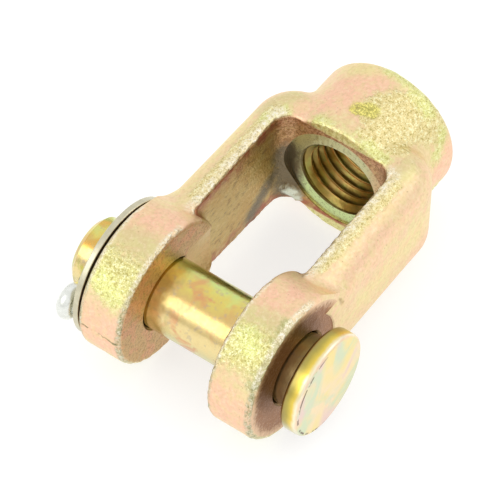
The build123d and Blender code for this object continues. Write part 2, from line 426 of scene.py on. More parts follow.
class CastCoat(Coat):
    """The cast skin under way, with masks for the yoke's faces and edges."""

    def __init__(self, name: str, effects: Effects, sizes: YokeSizes) -> None:
        """Start the material and find where a point lies on the yoke.

        Args:
            name: The material's name.
            effects: The shared groups.
            sizes: The yoke's sizes.
        """
        super().__init__(name, effects)
        self.sizes = sizes
        self.cloud = self.mottle(0.9, 3.0, 0.6)
        upper = {"X": self.along, "Y": self.across, "Z": self.level}
        self.mirrored = self.node("ShaderNodeCombineXYZ", upper).outputs[0]
        arm_top = self.math("MULTIPLY_ADD", self.along, sizes.arm_rise, sizes.arm_half_height)
        self.below_arm_top = self.math("SUBTRACT", arm_top, self.level)

    def arm_walls(self) -> Socket:
        """Mask the arms' inner faces and the slot's end and corners.

        Returns:
            The mask.
        """
        sizes = self.sizes
        return self.both(
            self.ramp(self.side, sizes.arm_inner_face + 0.5, sizes.arm_inner_face + 0.2),
            self.ramp(self.along, sizes.slot_end + 0.2, sizes.slot_end + 0.05),
            self.ramp(self.from_pin, sizes.ear_radius - 2.9, sizes.ear_radius - 2.3),
            self.ramp(self.along, sizes.arm_start, sizes.arm_start + 1.5),
            self.ramp(self.below_arm_top, 0.35, 0.8),
        )

    def boss_faces(self) -> Socket:
        """Mask the flat faces of the ears' bosses, and the ring cutter's shallow troughs across them.

        Returns:
            The mask.
        """
        sizes = self.sizes
        faces = self.both(
            self.ramp(self.side, sizes.ear_inner_face + 0.25, sizes.ear_inner_face + 0.05),
            self.ramp(self.from_pin, sizes.ear_radius - 0.5, sizes.ear_radius - 1.0),
        )
        troughs = self.both(
            self.ramp(self.from_rod, sizes.seat_ring_radius + 0.5, sizes.seat_ring_radius + 0.3),
            self.ramp(self.side, sizes.arm_inner_face - 0.1, sizes.arm_inner_face - 0.3),
            self.ramp(self.along, sizes.arm_start, sizes.arm_start + 1.5),
            self.ramp(self.along, sizes.trough_end + 2.0, sizes.trough_end),
        )
        return self.most(faces, troughs)

    def cuts(self) -> tuple[Socket, Socket, Socket, Socket]:
        """Mask the machined places.

        Returns:
            Masks of the ring and the hub's end, of the ears' faces, of the bore and of the countersinks.
        """
        sizes = self.sizes
        ring = self.both(
            self.ramp(self.near(self.along, sizes.seat_ring, 0.12), 0.3, 0.6),
            self.ramp(self.from_rod, sizes.seat_ring_radius + 0.1, sizes.seat_ring_radius - 0.1),
        )
        faces = self.both(
            self.ramp(self.near(self.side, sizes.ear_face, 0.12), 0.3, 0.6),
            self.ramp(self.from_pin, sizes.ear_radius - 0.9, sizes.ear_radius - 1.2),
        )
        mouths = self.both(
            self.ramp(self.from_rod, sizes.thread_mouth + 0.05, sizes.thread_mouth - 0.05),
            self.ramp(self.along, sizes.slot_end - 2.0, sizes.slot_end - 1.0),
        )
        bored = self.ramp(self.from_pin, sizes.bore_radius + 0.5, sizes.bore_radius + 0.3)
        hub_face = self.ramp(self.along, sizes.hub_end - 0.15, sizes.hub_end - 0.05)
        return self.most(ring, hub_face), faces, bored, mouths

    def rim_edges(self, width: float) -> Socket:
        """Mask the ears' four rounded rims, as far as the arms.

        Args:
            width: How far from the middle of an edge the mask reaches.

        Returns:
            The mask.
        """
        sizes = self.sizes
        rise = self.math("SUBTRACT", self.from_pin, sizes.ear_radius - 0.3)
        masks = []
        for place in (sizes.ear_inner_face + 0.3, sizes.ear_face - 0.4):
            apart = self.reach(rise, self.math("SUBTRACT", self.side, place))
            masks.append(self.ramp(apart, width, width * 0.3))
        before_arm = self.ramp(self.along, sizes.arm_start + 0.5, sizes.arm_start - 1.5)
        return self.both(self.most(*masks), before_arm)

    def slot_edges(self, width: float) -> Socket:
        """Mask the long edges along the arms' inner tops.

        Args:
            width: How far from the middle of an edge the mask reaches.

        Returns:
            The mask.
        """
        inward = self.math("SUBTRACT", self.side, self.sizes.arm_inner_face + 0.3)
        apart = self.reach(inward, self.math("SUBTRACT", self.below_arm_top, 0.2))
        ends = (self.ramp(self.along, 9.0, 12.0), self.ramp(self.along, 40.0, 38.0))
        return self.both(self.ramp(apart, width, width * 0.3), *ends)


@dataclass(frozen=True)
class Mark:
    """A patch or streak on a surface, in millimetres."""

    start: Triple
    end: Triple
    radius: float
    softness: float = 2.0
    raggedness: float = 3.0

    def share(self, place: Vector) -> float:
        """Say how much a point is in this mark, without its ragged edge.

        Args:
            place: The point, in millimetres.

        Returns:
            The share, from nought to one.
        """
        start, run = Vector(self.start), Vector(self.end) - Vector(self.start)
        along = max(0.0, min(1.0, (place - start).dot(run) / max(run.length_squared, 1e-4)))
        return smooth_step((self.radius - (place - start - run * along).length) / self.softness + 0.5)

    def mask(self, coat: CastCoat, place: Feed) -> Socket:
        """Place this mark's mask.

        Args:
            coat: The cast skin.
            place: Position, in millimetres.

        Returns:
            The mask.
        """
        run = tuple(b - a for a, b in zip(self.start, self.end))
        return coat.use(
            coat.effects.streak_mask, Place=place, Cloud=coat.cloud, Start=self.start, Run=run,
            Radius=self.radius, Softness=self.softness, Raggedness=self.raggedness,
        )["Mask"]


@dataclass(frozen=True)
class Tint:
    """One colour of the film and the marks it lies in, alike above and below the rod's axis."""

    colour: Colour
    marks: tuple[Mark, ...]
    strength: float = 1.0

    def mask(self, coat: CastCoat) -> Socket:
        """Join this tint's marks, at its strength."""
        return coat.both(coat.most(*[mark.mask(coat, coat.mirrored) for mark in self.marks]), self.strength)


@dataclass(frozen=True)
class CastingFinish:
    """Yellow chromate over zinc on a rough cast skin, with its gritty and machined places, and painted shade,
    highlights and glints.
    """

    peach: Colour = shade(243, 214, 174)
    warm: Colour = shade(246, 207, 172)
    straw: Colour = shade(238, 220, 165)
    tints: tuple[Tint, ...] = (
        Tint(shade(250, 204, 174), (
            Mark((46.0, 5.5, 13.0), (52.0, 2.0, 14.0), 4.0, 4.5),
            Mark((55.0, -14.0, 2.5), (50.0, -14.0, -3.0), 3.5, 4.0),
            Mark((1.0, -11.0, 14.6), (4.0, -17.0, 14.0), 3.6, 4.0),
            Mark((0.5, 17.5, 14.6), (4.0, 12.0, 13.8), 3.6, 4.0),
            Mark((-14.6, -17.0, 0.0), (-14.6, -11.0, 1.0), 4.6, 4.0),
            Mark((-14.6, 17.0, 0.0), (-14.4, 10.0, 1.5), 4.2, 4.0),
            Mark((38.5, 9.5, 12.0), (41.5, 10.0, 12.0), 1.6, 2.5),
        ), 0.9),
        Tint(shade(250, 206, 178), (
            Mark((38.0, -18.0, 7.0), (27.0, -18.4, 8.5), 1.4, 3.0, 4.0),
            Mark((21.0, -18.2, 8.8), (16.0, -17.8, 9.0), 1.3, 3.0, 4.0),
        ), 0.6),
        Tint(shade(243, 224, 166), (
            Mark((40.0, -18.5, -2.0), (20.0, -19.0, -3.0), 5.0, 5.0),
            Mark((54.5, 7.0, 12.5), (56.5, 2.0, 13.5), 2.6, 3.5),
            Mark((33.0, 16.5, 9.5), (15.0, 17.0, 8.5), 2.0, 3.0),
            Mark((-12.0, -17.0, -8.0), (-13.0, -11.0, -6.0), 3.5, 4.0),
        ), 0.8),
        Tint(shade(222, 208, 154), (
            Mark((-3.6, 18.0, 14.0), (-3.2, 12.0, 14.2), 3.0, 3.5),
            Mark((-4.2, -17.5, 13.8), (-4.4, -11.5, 13.8), 2.8, 3.5),
            Mark((43.0, 12.5, 11.6), (38.0, 15.5, 11.2), 2.2, 3.0),
            Mark((39.0, -14.0, 12.0), (41.5, -13.5, 11.6), 2.2, 3.0),
        ), 0.8),
    )
    grit: tuple[Tint, ...] = (
        Tint(shade(234, 216, 156), (
            Mark((47.5, -4.5, 13.4), (54.0, -9.5, 10.5), 5.2, 2.0, 5.0),
            Mark((42.0, -5.0, 13.2), (44.0, -9.5, 12.0), 2.6, 2.0, 3.0),
            Mark((36.0, -13.8, 11.9), (14.0, -13.4, 10.6), 1.6, 1.2, 2.0),
            Mark((38.0, 13.4, 11.9), (14.0, 13.4, 10.6), 1.5, 1.2, 2.0),
        )),
        Tint(shade(212, 206, 138), (
            Mark((-9.0, 18.5, 11.7), (-9.0, 10.5, 11.7), 3.8, 4.6, 5.0),
            Mark((-8.5, -18.0, 11.9), (-9.1, -10.5, 11.5), 4.0, 4.6, 5.0),
        )),
        Tint(shade(186, 186, 132), (
            Mark((-2.5, -17.8, 14.4), (-12.5, -17.8, 7.6), 1.1, 1.4, 2.6),
        ), 0.8),
        Tint(shade(226, 230, 148), (
            Mark((57.0, 0.5, 13.6), (55.0, -8.5, 10.8), 1.9, 2.6, 4.0),
            Mark((39.5, 5.0, 12.8), (39.8, -9.0, 12.0), 1.5, 2.0, 3.0),
            Mark((38.6, 11.5, 12.0), (35.0, 13.5, 12.0), 1.4, 2.0, 3.0),
            Mark((-11.0, 16.0, 9.8), (-12.0, 12.5, 8.6), 2.2, 2.6, 4.0),
            Mark((-7.0, -13.0, 13.0), (-8.5, -14.5, 12.0), 1.8, 2.6, 4.0),
            Mark((55.5, -12.0, 7.0), (51.0, -13.2, 4.0), 1.2, 2.6, 4.0),
        ), 0.8),
    )
    crater: Mark = Mark((45.4, 0.2, 14.0), (46.4, -1.8, 13.8), 1.6, 1.0, 1.6)
    lump: Mark = Mark((38.6, 10.6, -8.9), (38.9, 8.6, -9.8), 1.4, 0.9, 1.0)
    scar: Mark = Mark((12.2, -19.3, 7.6), (12.9, -19.4, 5.4), 0.5, 0.5, 0.6)
    seam: Mark = Mark((-14.7, 18.4, 0.3), (-14.6, 9.8, -0.2), 0.22, 0.4, 0.9)
    soot: tuple[Mark, ...] = (
        Mark((38.6, 11.6, 1.0), (38.8, 10.6, -8.5), 3.2, 2.6, 3.0),
        Mark((37.0, 12.0, -3.5), (29.0, 12.0, -8.6), 1.9, 2.8, 3.0),
    )
    crater_olive: Colour = shade(186, 180, 92)
    crater_yellow: Colour = shade(252, 240, 140)
    scar_brown: Colour = shade(150, 112, 74)
    seam_green: Colour = shade(104, 108, 60)
    soot_grey: Colour = shade(120, 110, 90)
    lump_silver: Colour = shade(226, 232, 214)
    film_shadow: Colour = shade(212, 190, 138)
    film_light: Colour = shade(253, 236, 204)
    fleck_lime: Colour = shade(226, 236, 150)
    fleck_rose: Colour = shade(244, 186, 160)
    # Painted shade for the grit's low places and painted glints for its high ones.
    valley_shade: Colour = shade(176, 160, 88)
    tip_glint: Colour = shade(255, 252, 206)
    # Painted glints and a painted cream highlight for the worn edges.
    edge_glint: Colour = shade(255, 250, 232)
    high_edge_highlight: Colour = shade(246, 232, 196)
    dull_edge: Colour = shade(178, 178, 136)
    dull_speck: Colour = shade(140, 132, 90)
    pit: Colour = shade(150, 124, 76)
    wall_top: Colour = shade(176, 106, 78)
    wall_middle: Colour = shade(200, 166, 100)
    wall_low: Colour = shade(206, 184, 120)
    wall_dark: Colour = shade(134, 96, 54)
    # Light flecks of the scratches and grain, and the colour of the painted highlights along the bosses'
    # edges.
    wall_fleck_and_highlight: Colour = shade(222, 198, 140)
    corner: Colour = shade(214, 172, 134)
    corner_dark: Colour = shade(162, 120, 84)
    boss: Colour = shade(208, 174, 122)
    boss_rose: Colour = shade(220, 170, 128)
    ring: Colour = shade(206, 208, 158)
    ring_green: Colour = shade(204, 226, 156)
    hub_face: Colour = shade(226, 210, 154)
    ring_rose: Colour = shade(214, 178, 132)
    ring_streak: Colour = shade(232, 226, 190)
    ear_peach: Colour = shade(226, 190, 152)
    # Painted shade for the ears' outer faces near the shank.
    ear_shade_brown: Colour = shade(152, 102, 60)
    bore: Colour = shade(176, 142, 88)
    mouth: Colour = shade(104, 92, 50)
    scratch_slant: float = math.radians(38.0)

    def material(self, effects: Effects, sizes: YokeSizes) -> bpy.types.Material:
        """Build the material.

        Args:
            effects: The shared groups.
            sizes: The yoke's sizes.

        Returns:
            The material.
        """
        coat = CastCoat("yellow_zinc_cast_skin", effects, sizes)
        grit_masks = [tint.mask(coat) for tint in self.grit]
        walls, bosses, cuts = coat.arm_walls(), coat.boss_faces(), coat.cuts()
        machined, inner = coat.most(*cuts), coat.most(walls, bosses)
        open_skin = coat.math("SUBTRACT", 1.0, coat.most(machined, inner), clamp=True)
        gritty = coat.both(coat.most(*grit_masks), open_skin)
        chipped = coat.ramp(coat.mottle(0.7, 3.0, 0.6), 0.42, 0.56)
        rims = coat.both(coat.rim_edges(1.0), coat.fade(0.4, 1.0, chipped))
        tops = coat.both(coat.slot_edges(2.1), coat.fade(0.45, 1.0, chipped))
        edges = coat.both(coat.most(rims, tops), open_skin)
        coarse = coat.most(gritty, edges, coat.both(inner, 0.55), coat.both(cuts[1], 0.3))
        grain = coat.use(effects.grain, Place=coat.place, Coarse=coarse)
        skin = coat.layers(
            self._film(coat),
            *[(tint.colour, mask, open_skin) for tint, mask in zip(self.grit, grit_masks)],
            # Painted shade in the grit's low places and painted glints on its high ones, in place of the
            # light its relief catches.
            (self.valley_shade, coat.ramp(grain["Level"], 0.47, 0.40), gritty, 0.75),
            (self.tip_glint, coat.ramp(grain["Level"], 0.52, 0.60), gritty, 0.9),
            (self.pit, grain["Pits"], 0.4),
            # The edges' wear, with painted highlights and painted glints.
            *self._edge_wear_and_glints(coat, grain, edges),
            (self._walls(coat, grain), walls),
            (self._bosses(coat, grain), bosses),
            *zip(self._machined(coat, grain), cuts),
            *self._blemishes(coat, grain),
        )
        smooth = coat.math("MULTIPLY_ADD", coat.cloud, 0.16, 0.36)
        rough = coat.fade(coat.fade(smooth, 0.34, coarse), 0.32, machined)
        return coat.finish(skin, rough, 0.94, grain["Height"])

    def _film(self, coat: CastCoat) -> Socket:
        """Lay the smooth skin's slow tints over each other and mottle them.

        Args:
            coat: The cast skin.

        Returns:
            The colour.
        """
        drift, spots, fine = coat.drift(0.10), coat.drift(0.5), coat.mottle(1.6, 4.0, 0.62)
        return coat.layers(
            self.peach,
            (self.warm, drift["First"], 0.7),
            (self.straw, drift["Second"], 0.6),
            *[(tint.colour, tint.mask(coat)) for tint in self.tints],
            (self.film_shadow, coat.ramp(fine, 0.50, 0.36), 0.34),
            (self.film_light, coat.ramp(fine, 0.52, 0.66), 0.35),
            (self.fleck_lime, spots["Second"], 0.16),
            (self.fleck_rose, spots["Third"], 0.2),
        )

    def _edge_wear_and_glints(self, coat: CastCoat, grain: Sockets, edges: Feed) -> Sequence[Sequence[Feed]]:
        """Wear the edges, with a painted highlight and painted glints in cream high up, and dull specks lower
        down.

        Args:
            coat: The cast skin.
            grain: Its relief.
            edges: Where the edges are.

        Returns:
            The layers.
        """
        high = coat.ramp(coat.level, 6.0, 11.5)
        low_grain = coat.ramp(grain["Level"], 0.47, 0.41)
        glint_specks = coat.ramp(grain["Level"], 0.50, 0.57)
        return (
            (coat.blend(self.dull_edge, self.high_edge_highlight, high), edges, 0.85),
            (self.dull_speck, edges, low_grain, coat.fade(0.8, 0.4, high)),
            (self.edge_glint, edges, glint_specks, coat.fade(0.5, 1.0, high)),
        )

    def _walls(self, coat: CastCoat, grain: Sockets) -> Socket:
        """Colour the slot's walls: red-brown under the top edge, khaki lower down, with slanting scratches
        and a painted highlight along the bosses' rims.

        Args:
            coat: The cast skin.
            grain: Its relief.

        Returns:
            The colour.
        """
        sizes = coat.sizes
        hanging = coat.math("SUBTRACT", coat.below_arm_top, 2.5)
        depth = coat.math("MULTIPLY_ADD", coat.mottle(0.35, 2.0, 0.5), 5.0, hanging)
        towards_ear = coat.math("MULTIPLY_ADD", coat.along, -0.45, coat.below_arm_top)
        stretch = {"Vector": coat.place, "Rotation": (0.0, self.scratch_slant, 0.0), "Scale": (0.7, 1.0, 1.5)}
        scratch = coat.noise(coat.node("ShaderNodeMapping", stretch).outputs["Vector"], 0.8, 5.0, 0.66)
        patchy = coat.mottle(0.32, 2.0, 0.5)
        corner = coat.blend(self.corner_dark, self.corner, coat.ramp(grain["Level"], 0.46, 0.54))
        ragged = coat.math("MULTIPLY_ADD", patchy, 5.0, coat.math("ADD", coat.along, -2.5))
        at_end = coat.both(coat.ramp(ragged, 34.0, 38.0), coat.ramp(coat.up, -3.0, 3.0))
        edge = coat.near(coat.from_pin, sizes.ear_radius - 0.2, 0.45)
        by_boss = coat.ramp(coat.side, sizes.ear_inner_face + 1.0, sizes.ear_inner_face + 0.4)
        return coat.layers(
            self.wall_top,
            (self.wall_middle, coat.ramp(depth, 1.0, 4.2)),
            (self.wall_low, coat.ramp(towards_ear, -7.0, 6.0)),
            (self.wall_low, coat.ramp(patchy, 0.47, 0.60), 0.55),
            (corner, at_end, 0.85),
            (self.wall_dark, coat.ramp(scratch, 0.47, 0.36), 0.5),
            (self.wall_fleck_and_highlight, coat.ramp(scratch, 0.54, 0.66), 0.5),
            # A painted highlight along the bosses' rims.
            (self.wall_fleck_and_highlight, edge, by_boss, 0.8),
        )

    def _bosses(self, coat: CastCoat, grain: Sockets) -> Socket:
        """Colour the bosses' inner faces, with a painted highlight along the ring cutter's arc.

        Args:
            coat: The cast skin.
            grain: Its relief.

        Returns:
            The colour.
        """
        sizes = coat.sizes
        arc_highlight = coat.near(coat.from_rod, sizes.seat_ring_radius, 0.35)
        return coat.layers(
            self.boss,
            (self.boss_rose, coat.ramp(coat.mottle(0.4, 2.0, 0.5), 0.45, 0.6)),
            (self.wall_dark, coat.ramp(grain["Level"], 0.49, 0.42), 0.5),
            (self.wall_fleck_and_highlight, grain["Specks"], 0.4),
            # A painted highlight along the ring cutter's arc across the bosses.
            (self.wall_fleck_and_highlight, arc_highlight, coat.ramp(coat.along, sizes.arm_start, sizes.arm_start + 2.0), 0.7),
        )

    def _machined(self, coat: CastCoat, grain: Sockets) -> tuple[Feed, Feed, Feed, Feed]:
        """Colour the machined places, with painted shade on the ears' outer faces near the shank.

        Args:
            coat: The cast skin.
            grain: Its relief.

        Returns:
            The colours, in the order of the cuts.
        """
        middle = coat.sizes.hub_middle
        ring = coat.layers(
            self.ring,
            (self.ring_green, coat.ramp(coat.up, -1.0, -6.5)),
            (self.ring_rose, coat.ramp(coat.across, -5.0, -9.0)),
            (self.hub_face, coat.ramp(coat.along, middle, middle + 1.0)),
            (self.ring_streak, coat.turning(coat.from_rod, 0.0)["Streaks"], 0.8),
            (self.mouth, coat.ramp(grain["Level"], 0.48, 0.42), 0.4),
        )
        # Painted shade in brown on the ears' outer faces near the shank, where the pin's head hides them.
        near_shank = coat.math("MULTIPLY_ADD", coat.mottle(1.3, 3.0, 0.6), 3.0, coat.from_pin)
        brown = coat.ramp(near_shank, 15.2, 13.2)
        face = coat.layers(self.ear_peach, (self.ear_shade_brown, brown), (self.ear_peach, grain["Specks"], 0.6))
        return ring, face, self.bore, self.mouth

    def _blemishes(self, coat: CastCoat, grain: Sockets) -> Sequence[Sequence[Feed]]:
        """Colour the single faults of this casting: its crater, scar, seam, soot and lump.

        Args:
            coat: The cast skin.
            grain: Its relief.

        Returns:
            The layers.
        """
        crater, scar, seam, lump, *sooty = [
            mark.mask(coat, coat.place) for mark in (self.crater, self.scar, self.seam, self.lump, *self.soot)
        ]
        return (
            (self.crater_olive, crater, 0.8),
            (self.crater_yellow, crater, coat.ramp(grain["Level"], 0.48, 0.56)),
            (self.scar_brown, scar, 0.8),
            (self.seam_green, seam, coat.ramp(coat.mottle(0.6, 2.0, 0.6), 0.42, 0.54), 0.85),
            (self.soot_grey, coat.most(*sooty), coat.ramp(coat.cloud, 0.2, 0.42), 0.92),
            (self.lump_silver, lump),
        )


@dataclass(frozen=True)
class ThreadFinish:
    """Dark olive chromate in the thread's roots, with painted gold highlights at its crests."""

    root: Colour = shade(156, 136, 74)
    green: Colour = shade(160, 156, 84)
    flank: Colour = shade(188, 154, 92)
    crest: Colour = shade(226, 176, 100)

    def material(self, effects: Effects, sizes: YokeSizes) -> bpy.types.Material:
        """Build the material.

        Args:
            effects: The shared groups.
            sizes: The yoke's sizes.

        Returns:
            The material.
        """
        coat = Coat("yellow_zinc_thread", effects)
        drift = coat.drift(0.3)
        rubbed = coat.ramp(coat.from_rod, sizes.thread_crest + 0.14, sizes.thread_crest + 0.02)
        colour = coat.layers(
            self.root,
            (self.green, drift["First"]),
            (self.flank, drift["Third"], 0.7),
            # Painted highlights in gold along the crests.
            (self.crest, rubbed, coat.ramp(drift["Second"], -0.6, 0.8)),
        )
        rough = coat.math("MULTIPLY_ADD", drift["Second"], 0.15, 0.30)
        return coat.finish(colour, rough, 0.95, coat.math("MULTIPLY", coat.mottle(1.5, 3.0, 0.6), 0.05))


# The cream band is a painted highlight and painted reflection of the floor; the pale band is painted
# reflection of the floor.
CREAM_HIGHLIGHT = shade(234, 214, 156)
STRAW = shade(226, 208, 144)
PALE_REFLECTION = shade(216, 214, 164)
GOLD = shade(218, 188, 120)
YELLOW = shade(226, 208, 114)
GREEN = shade(208, 226, 142)


@dataclass(frozen=True)
class PinFinish:
    """Yellow chromate over zinc on a smooth turned pin, in bands round its axis that are partly the film's
    tints and partly painted reflection and highlight.
    """

    # Partly the film's tints and partly painted reflection and highlight.
    bands: Bands = (
        (0.00, STRAW),
        (0.27, PALE_REFLECTION),
        (0.38, CREAM_HIGHLIGHT),
        (0.53, GOLD),
        (0.60, YELLOW),
        (0.67, GREEN),
        (0.82, STRAW),
    )
    rose: Colour = shade(222, 158, 116)
    violet: Colour = shade(196, 178, 150)
    olive: Colour = shade(186, 172, 104)
    moss: Colour = shade(190, 196, 96)
    orange: Colour = shade(232, 176, 84)
    face_peach: Colour = shade(246, 224, 182)
    face_mint: Colour = shade(208, 222, 190)
    face_lilac: Colour = shade(236, 206, 198)
    face_gold: Colour = shade(244, 224, 150)
    # The near-white band next to the face is a painted highlight on the rounded edge.
    rim_bands_with_highlight: Bands = (
        (0.00, shade(250, 206, 172)),
        (0.14, shade(252, 242, 212)),
        (0.34, shade(234, 206, 92)),
        (0.60, shade(184, 168, 86)),
        (0.86, shade(162, 148, 92)),
    )
    rim_silver: Colour = shade(224, 224, 202)
    scuff_and_shade: Colour = shade(112, 96, 70)
    line: Colour = shade(104, 82, 62)
    end_grey: Colour = shade(160, 154, 122)
    rim_start: float = 8.2
    rim_depth: float = 3.6
    line_radius: float = 9.4
    head_face: float = -25.45
    scuff_start: float = -17.5
    ear_face: float = YokeSizes.ear_face
    pin_end: float = 26.5

    def material(self, effects: Effects) -> bpy.types.Material:
        """Build the material.

        Args:
            effects: The shared groups.

        Returns:
            The material.
        """
        coat = Coat("yellow_zinc_turned_pin", effects)
        on_rim = coat.both(
            coat.ramp(coat.from_pin, self.rim_start, self.rim_start + 0.6),
            coat.ramp(coat.across, -self.ear_face, -self.ear_face - 1.3),
        )
        flat = coat.most(
            coat.ramp(coat.across, self.head_face + 0.3, self.head_face + 0.02),
            coat.ramp(coat.across, self.pin_end - 0.15, self.pin_end - 0.02),
        )
        skin = coat.layers(self._shank(coat), (self._rim(coat), on_rim), (self._face(coat), flat))
        scuffed = coat.ramp(coat.across, self.scuff_start, self.scuff_start - 1.3)
        smooth = coat.math("MULTIPLY_ADD", coat.mottle(1.2, 3.0, 0.6), 0.2, 0.12)
        rough = coat.fade(smooth, 0.3, coat.most(flat, scuffed))
        dents = coat.math("MULTIPLY", coat.mottle(0.45, 2.0, 0.5), 0.05)
        rings = coat.turning(coat.from_pin, coat.across)["Height"]
        return coat.finish(skin, rough, 1.0, coat.math("MULTIPLY_ADD", rings, 0.5, dents))

    def _shank(self, coat: Coat) -> Socket:
        """Colour the shank in bands by angle, partly tints and partly painted reflection and highlight,
        broken up by patches, and darken it under the head with scuffs and painted shade.

        Args:
            coat: The pin's coat.

        Returns:
            The colour.
        """
        drift = coat.drift(0.26)
        angle = coat.math("ARCTAN2", coat.along, coat.up)
        wobble = coat.math("SUBTRACT", coat.mottle(0.3, 3.0, 0.6), 0.5)
        turn = coat.math("MULTIPLY_ADD", wobble, 0.2, coat.math("MULTIPLY_ADD", angle, 1 / math.tau, 0.6))
        end = coat.ramp(coat.across, self.ear_face + 1.4, self.ear_face + 2.2)
        patch = coat.blend(self.orange, self.moss, drift["First"])
        rubbed = coat.ramp(coat.mottle(0.9, 3.0, 0.6), 0.42, 0.56)
        under_head = coat.ramp(coat.across, self.scuff_start, self.scuff_start - 1.4)
        # Bands by angle, partly the film's tints and partly painted reflection and highlight.
        return coat.layers(
            coat.bands(coat.math("FRACT", turn), self.bands),
            (self.rose, coat.ramp(coat.side, 7.5, 2.5), drift["Third"], 0.75),
            (self.olive, coat.ramp(coat.across, 1.0, 8.0), drift["Second"], 0.6),
            (self.violet, coat.ramp(coat.mottle(0.8, 3.0, 0.6), 0.56, 0.66), 0.5),
            (patch, end, drift["Second"], 0.8),
            (self.end_grey, end, coat.ramp(coat.up, 1.5, -3.0), rubbed, 0.8),
            # Scuffs and painted shade on the shank between the head and the ear.
            (self.scuff_and_shade, under_head, coat.ramp(coat.from_pin, 7.6, 7.3), 0.75),
        )

    def _rim(self, coat: Coat) -> Socket:
        """Colour the head's rim in bands from its face backwards, one a painted highlight near the face, and
        silver low down.

        Args:
            coat: The pin's coat.

        Returns:
            The colour.
        """
        wavy = coat.math("MULTIPLY_ADD", coat.mottle(0.35, 3.0, 0.6), 0.3, -0.15)
        depth = coat.math("MULTIPLY_ADD", coat.across, 1 / self.rim_depth, -self.head_face / self.rim_depth)
        rim = coat.bands(coat.math("ADD", depth, wavy), self.rim_bands_with_highlight)
        return coat.blend(rim, self.rim_silver, coat.ramp(coat.up, -0.5, -5.0), 0.9)

    def _face(self, coat: Coat) -> Socket:
        """Colour the pin's flat ends, with a broken line round the head's.

        Args:
            coat: The pin's coat.

        Returns:
            The colour.
        """
        slow = coat.drift(0.11)
        patchy = coat.ramp(coat.mottle(0.7, 2.0, 0.6), 0.46, 0.54)
        broken = coat.both(patchy, coat.ramp(coat.along, 1.0, -4.0))
        return coat.layers(
            self.face_peach,
            (self.face_gold, slow["First"]),
            (self.face_mint, slow["Second"], 0.9),
            (self.face_lilac, slow["Third"], 0.9),
            (self.line, coat.near(coat.from_pin, self.line_radius, 0.35), broken),
        )


@dataclass(frozen=True)
class ClearZincFinish:
    """Plain bright zinc, as on the washer and the wire."""

    name: str
    bright: Colour = shade(212, 206, 180)
    dull: Colour = shade(182, 176, 150)
    roughness: float = 0.34

    def material(self, effects: Effects) -> bpy.types.Material:
        """Build the material.

        Args:
            effects: The shared groups.

        Returns:
            The material.
        """
        coat = Coat(self.name, effects)
        colour = coat.blend(self.bright, self.dull, coat.drift(0.7)["First"], 0.3)
        cloud = coat.mottle(2.5, 3.0, 0.6)
        rough = coat.math("MULTIPLY_ADD", cloud, 0.2, self.roughness - 0.1)
        return coat.finish(colour, rough, 1.0, coat.math("MULTIPLY", cloud, 0.02))


def show(name: str, bm: bmesh.types.BMesh) -> bpy.types.Object:
    """Turn a finished bmesh into an object at the origin.

    Args:
        name: The piece's name.
        bm: The mesh, which is freed.

    Returns:
        The object, linked to the scene.
    """
    mesh = bpy.data.meshes.new(name)
    bm.to_mesh(mesh)
    bm.free()
    piece = bpy.data.objects.new(name, mesh)
    bpy.context.scene.collection.objects.link(piece)
    return piece


